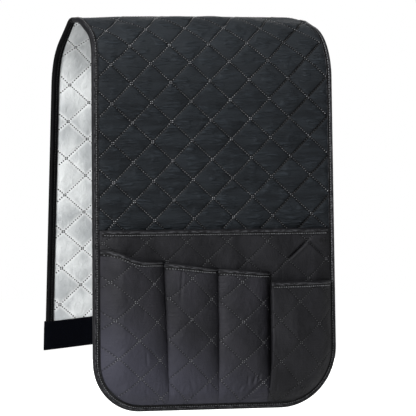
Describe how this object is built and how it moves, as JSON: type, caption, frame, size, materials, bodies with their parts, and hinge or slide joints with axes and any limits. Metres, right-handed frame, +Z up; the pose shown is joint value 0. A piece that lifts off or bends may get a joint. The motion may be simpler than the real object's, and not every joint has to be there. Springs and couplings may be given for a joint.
{
  "type": "sofa armrest organizer",
  "caption": "Quilted strip that hangs over a sofa armrest, with a wide magazine pocket and small pockets on its front flap and a dark band along its rear end.",
  "frame": {"origin": "middle of the lining where it lies on the armrest's top", "axes": "+X across the strip, along the armrest; -Y towards the front flap; +Z up"},
  "size_m": [0.333, 0.1908, 0.4966],
  "materials": {
    "black_quilt": "matt black polyester with quilted diamonds",
    "black_pocket": "matt black polyester",
    "black_tape": "smooth black edge tape with a stitch line",
    "silver_lining": "silver-grey coated cloth with quilted diamonds, soft sheen",
    "white_wadding": "white needled wadding",
    "black_band": "deep black brushed pile"
  },
  "bodies": {
    "saddle": {"saddle_shell": "black_quilt", "saddle_wadding": "white_wadding", "saddle_lining": "silver_lining", "saddle_binding_left": "black_tape", "saddle_binding_right": "black_tape"},
    "front_flap": {"front_shell": "black_quilt", "front_wadding": "white_wadding", "front_lining": "silver_lining", "front_binding": "black_tape", "magazine_pocket": "black_pocket", "magazine_hem": "black_tape", "remote_pocket": "black_pocket", "remote_hem": "black_tape", "glasses_pocket": "black_pocket", "glasses_hem": "black_tape", "pen_pocket": "black_pocket", "pen_hem": "black_tape", "phone_pocket": "black_pocket", "phone_hem": "black_tape", "phone_gusset": "black_pocket"},
    "rear_flap": {"rear_shell": "black_quilt", "rear_wadding": "white_wadding", "rear_lining": "silver_lining", "rear_binding_left": "black_tape", "rear_binding_right": "black_tape", "end_band": "black_band"}
  },
  "joints": [
    {"name": "front_fold", "type": "hinge", "parent": "saddle", "child": "front_flap", "pos_m": [0, -0.05105, -0.01014], "axis": [-1, 0, 0], "range_deg": [0, 90]},
    {"name": "rear_fold", "type": "hinge", "parent": "saddle", "child": "rear_flap", "pos_m": [0, 0.04206, -0.01276], "axis": [1, 0, 0], "range_deg": [0, 85.5]}
  ]
}
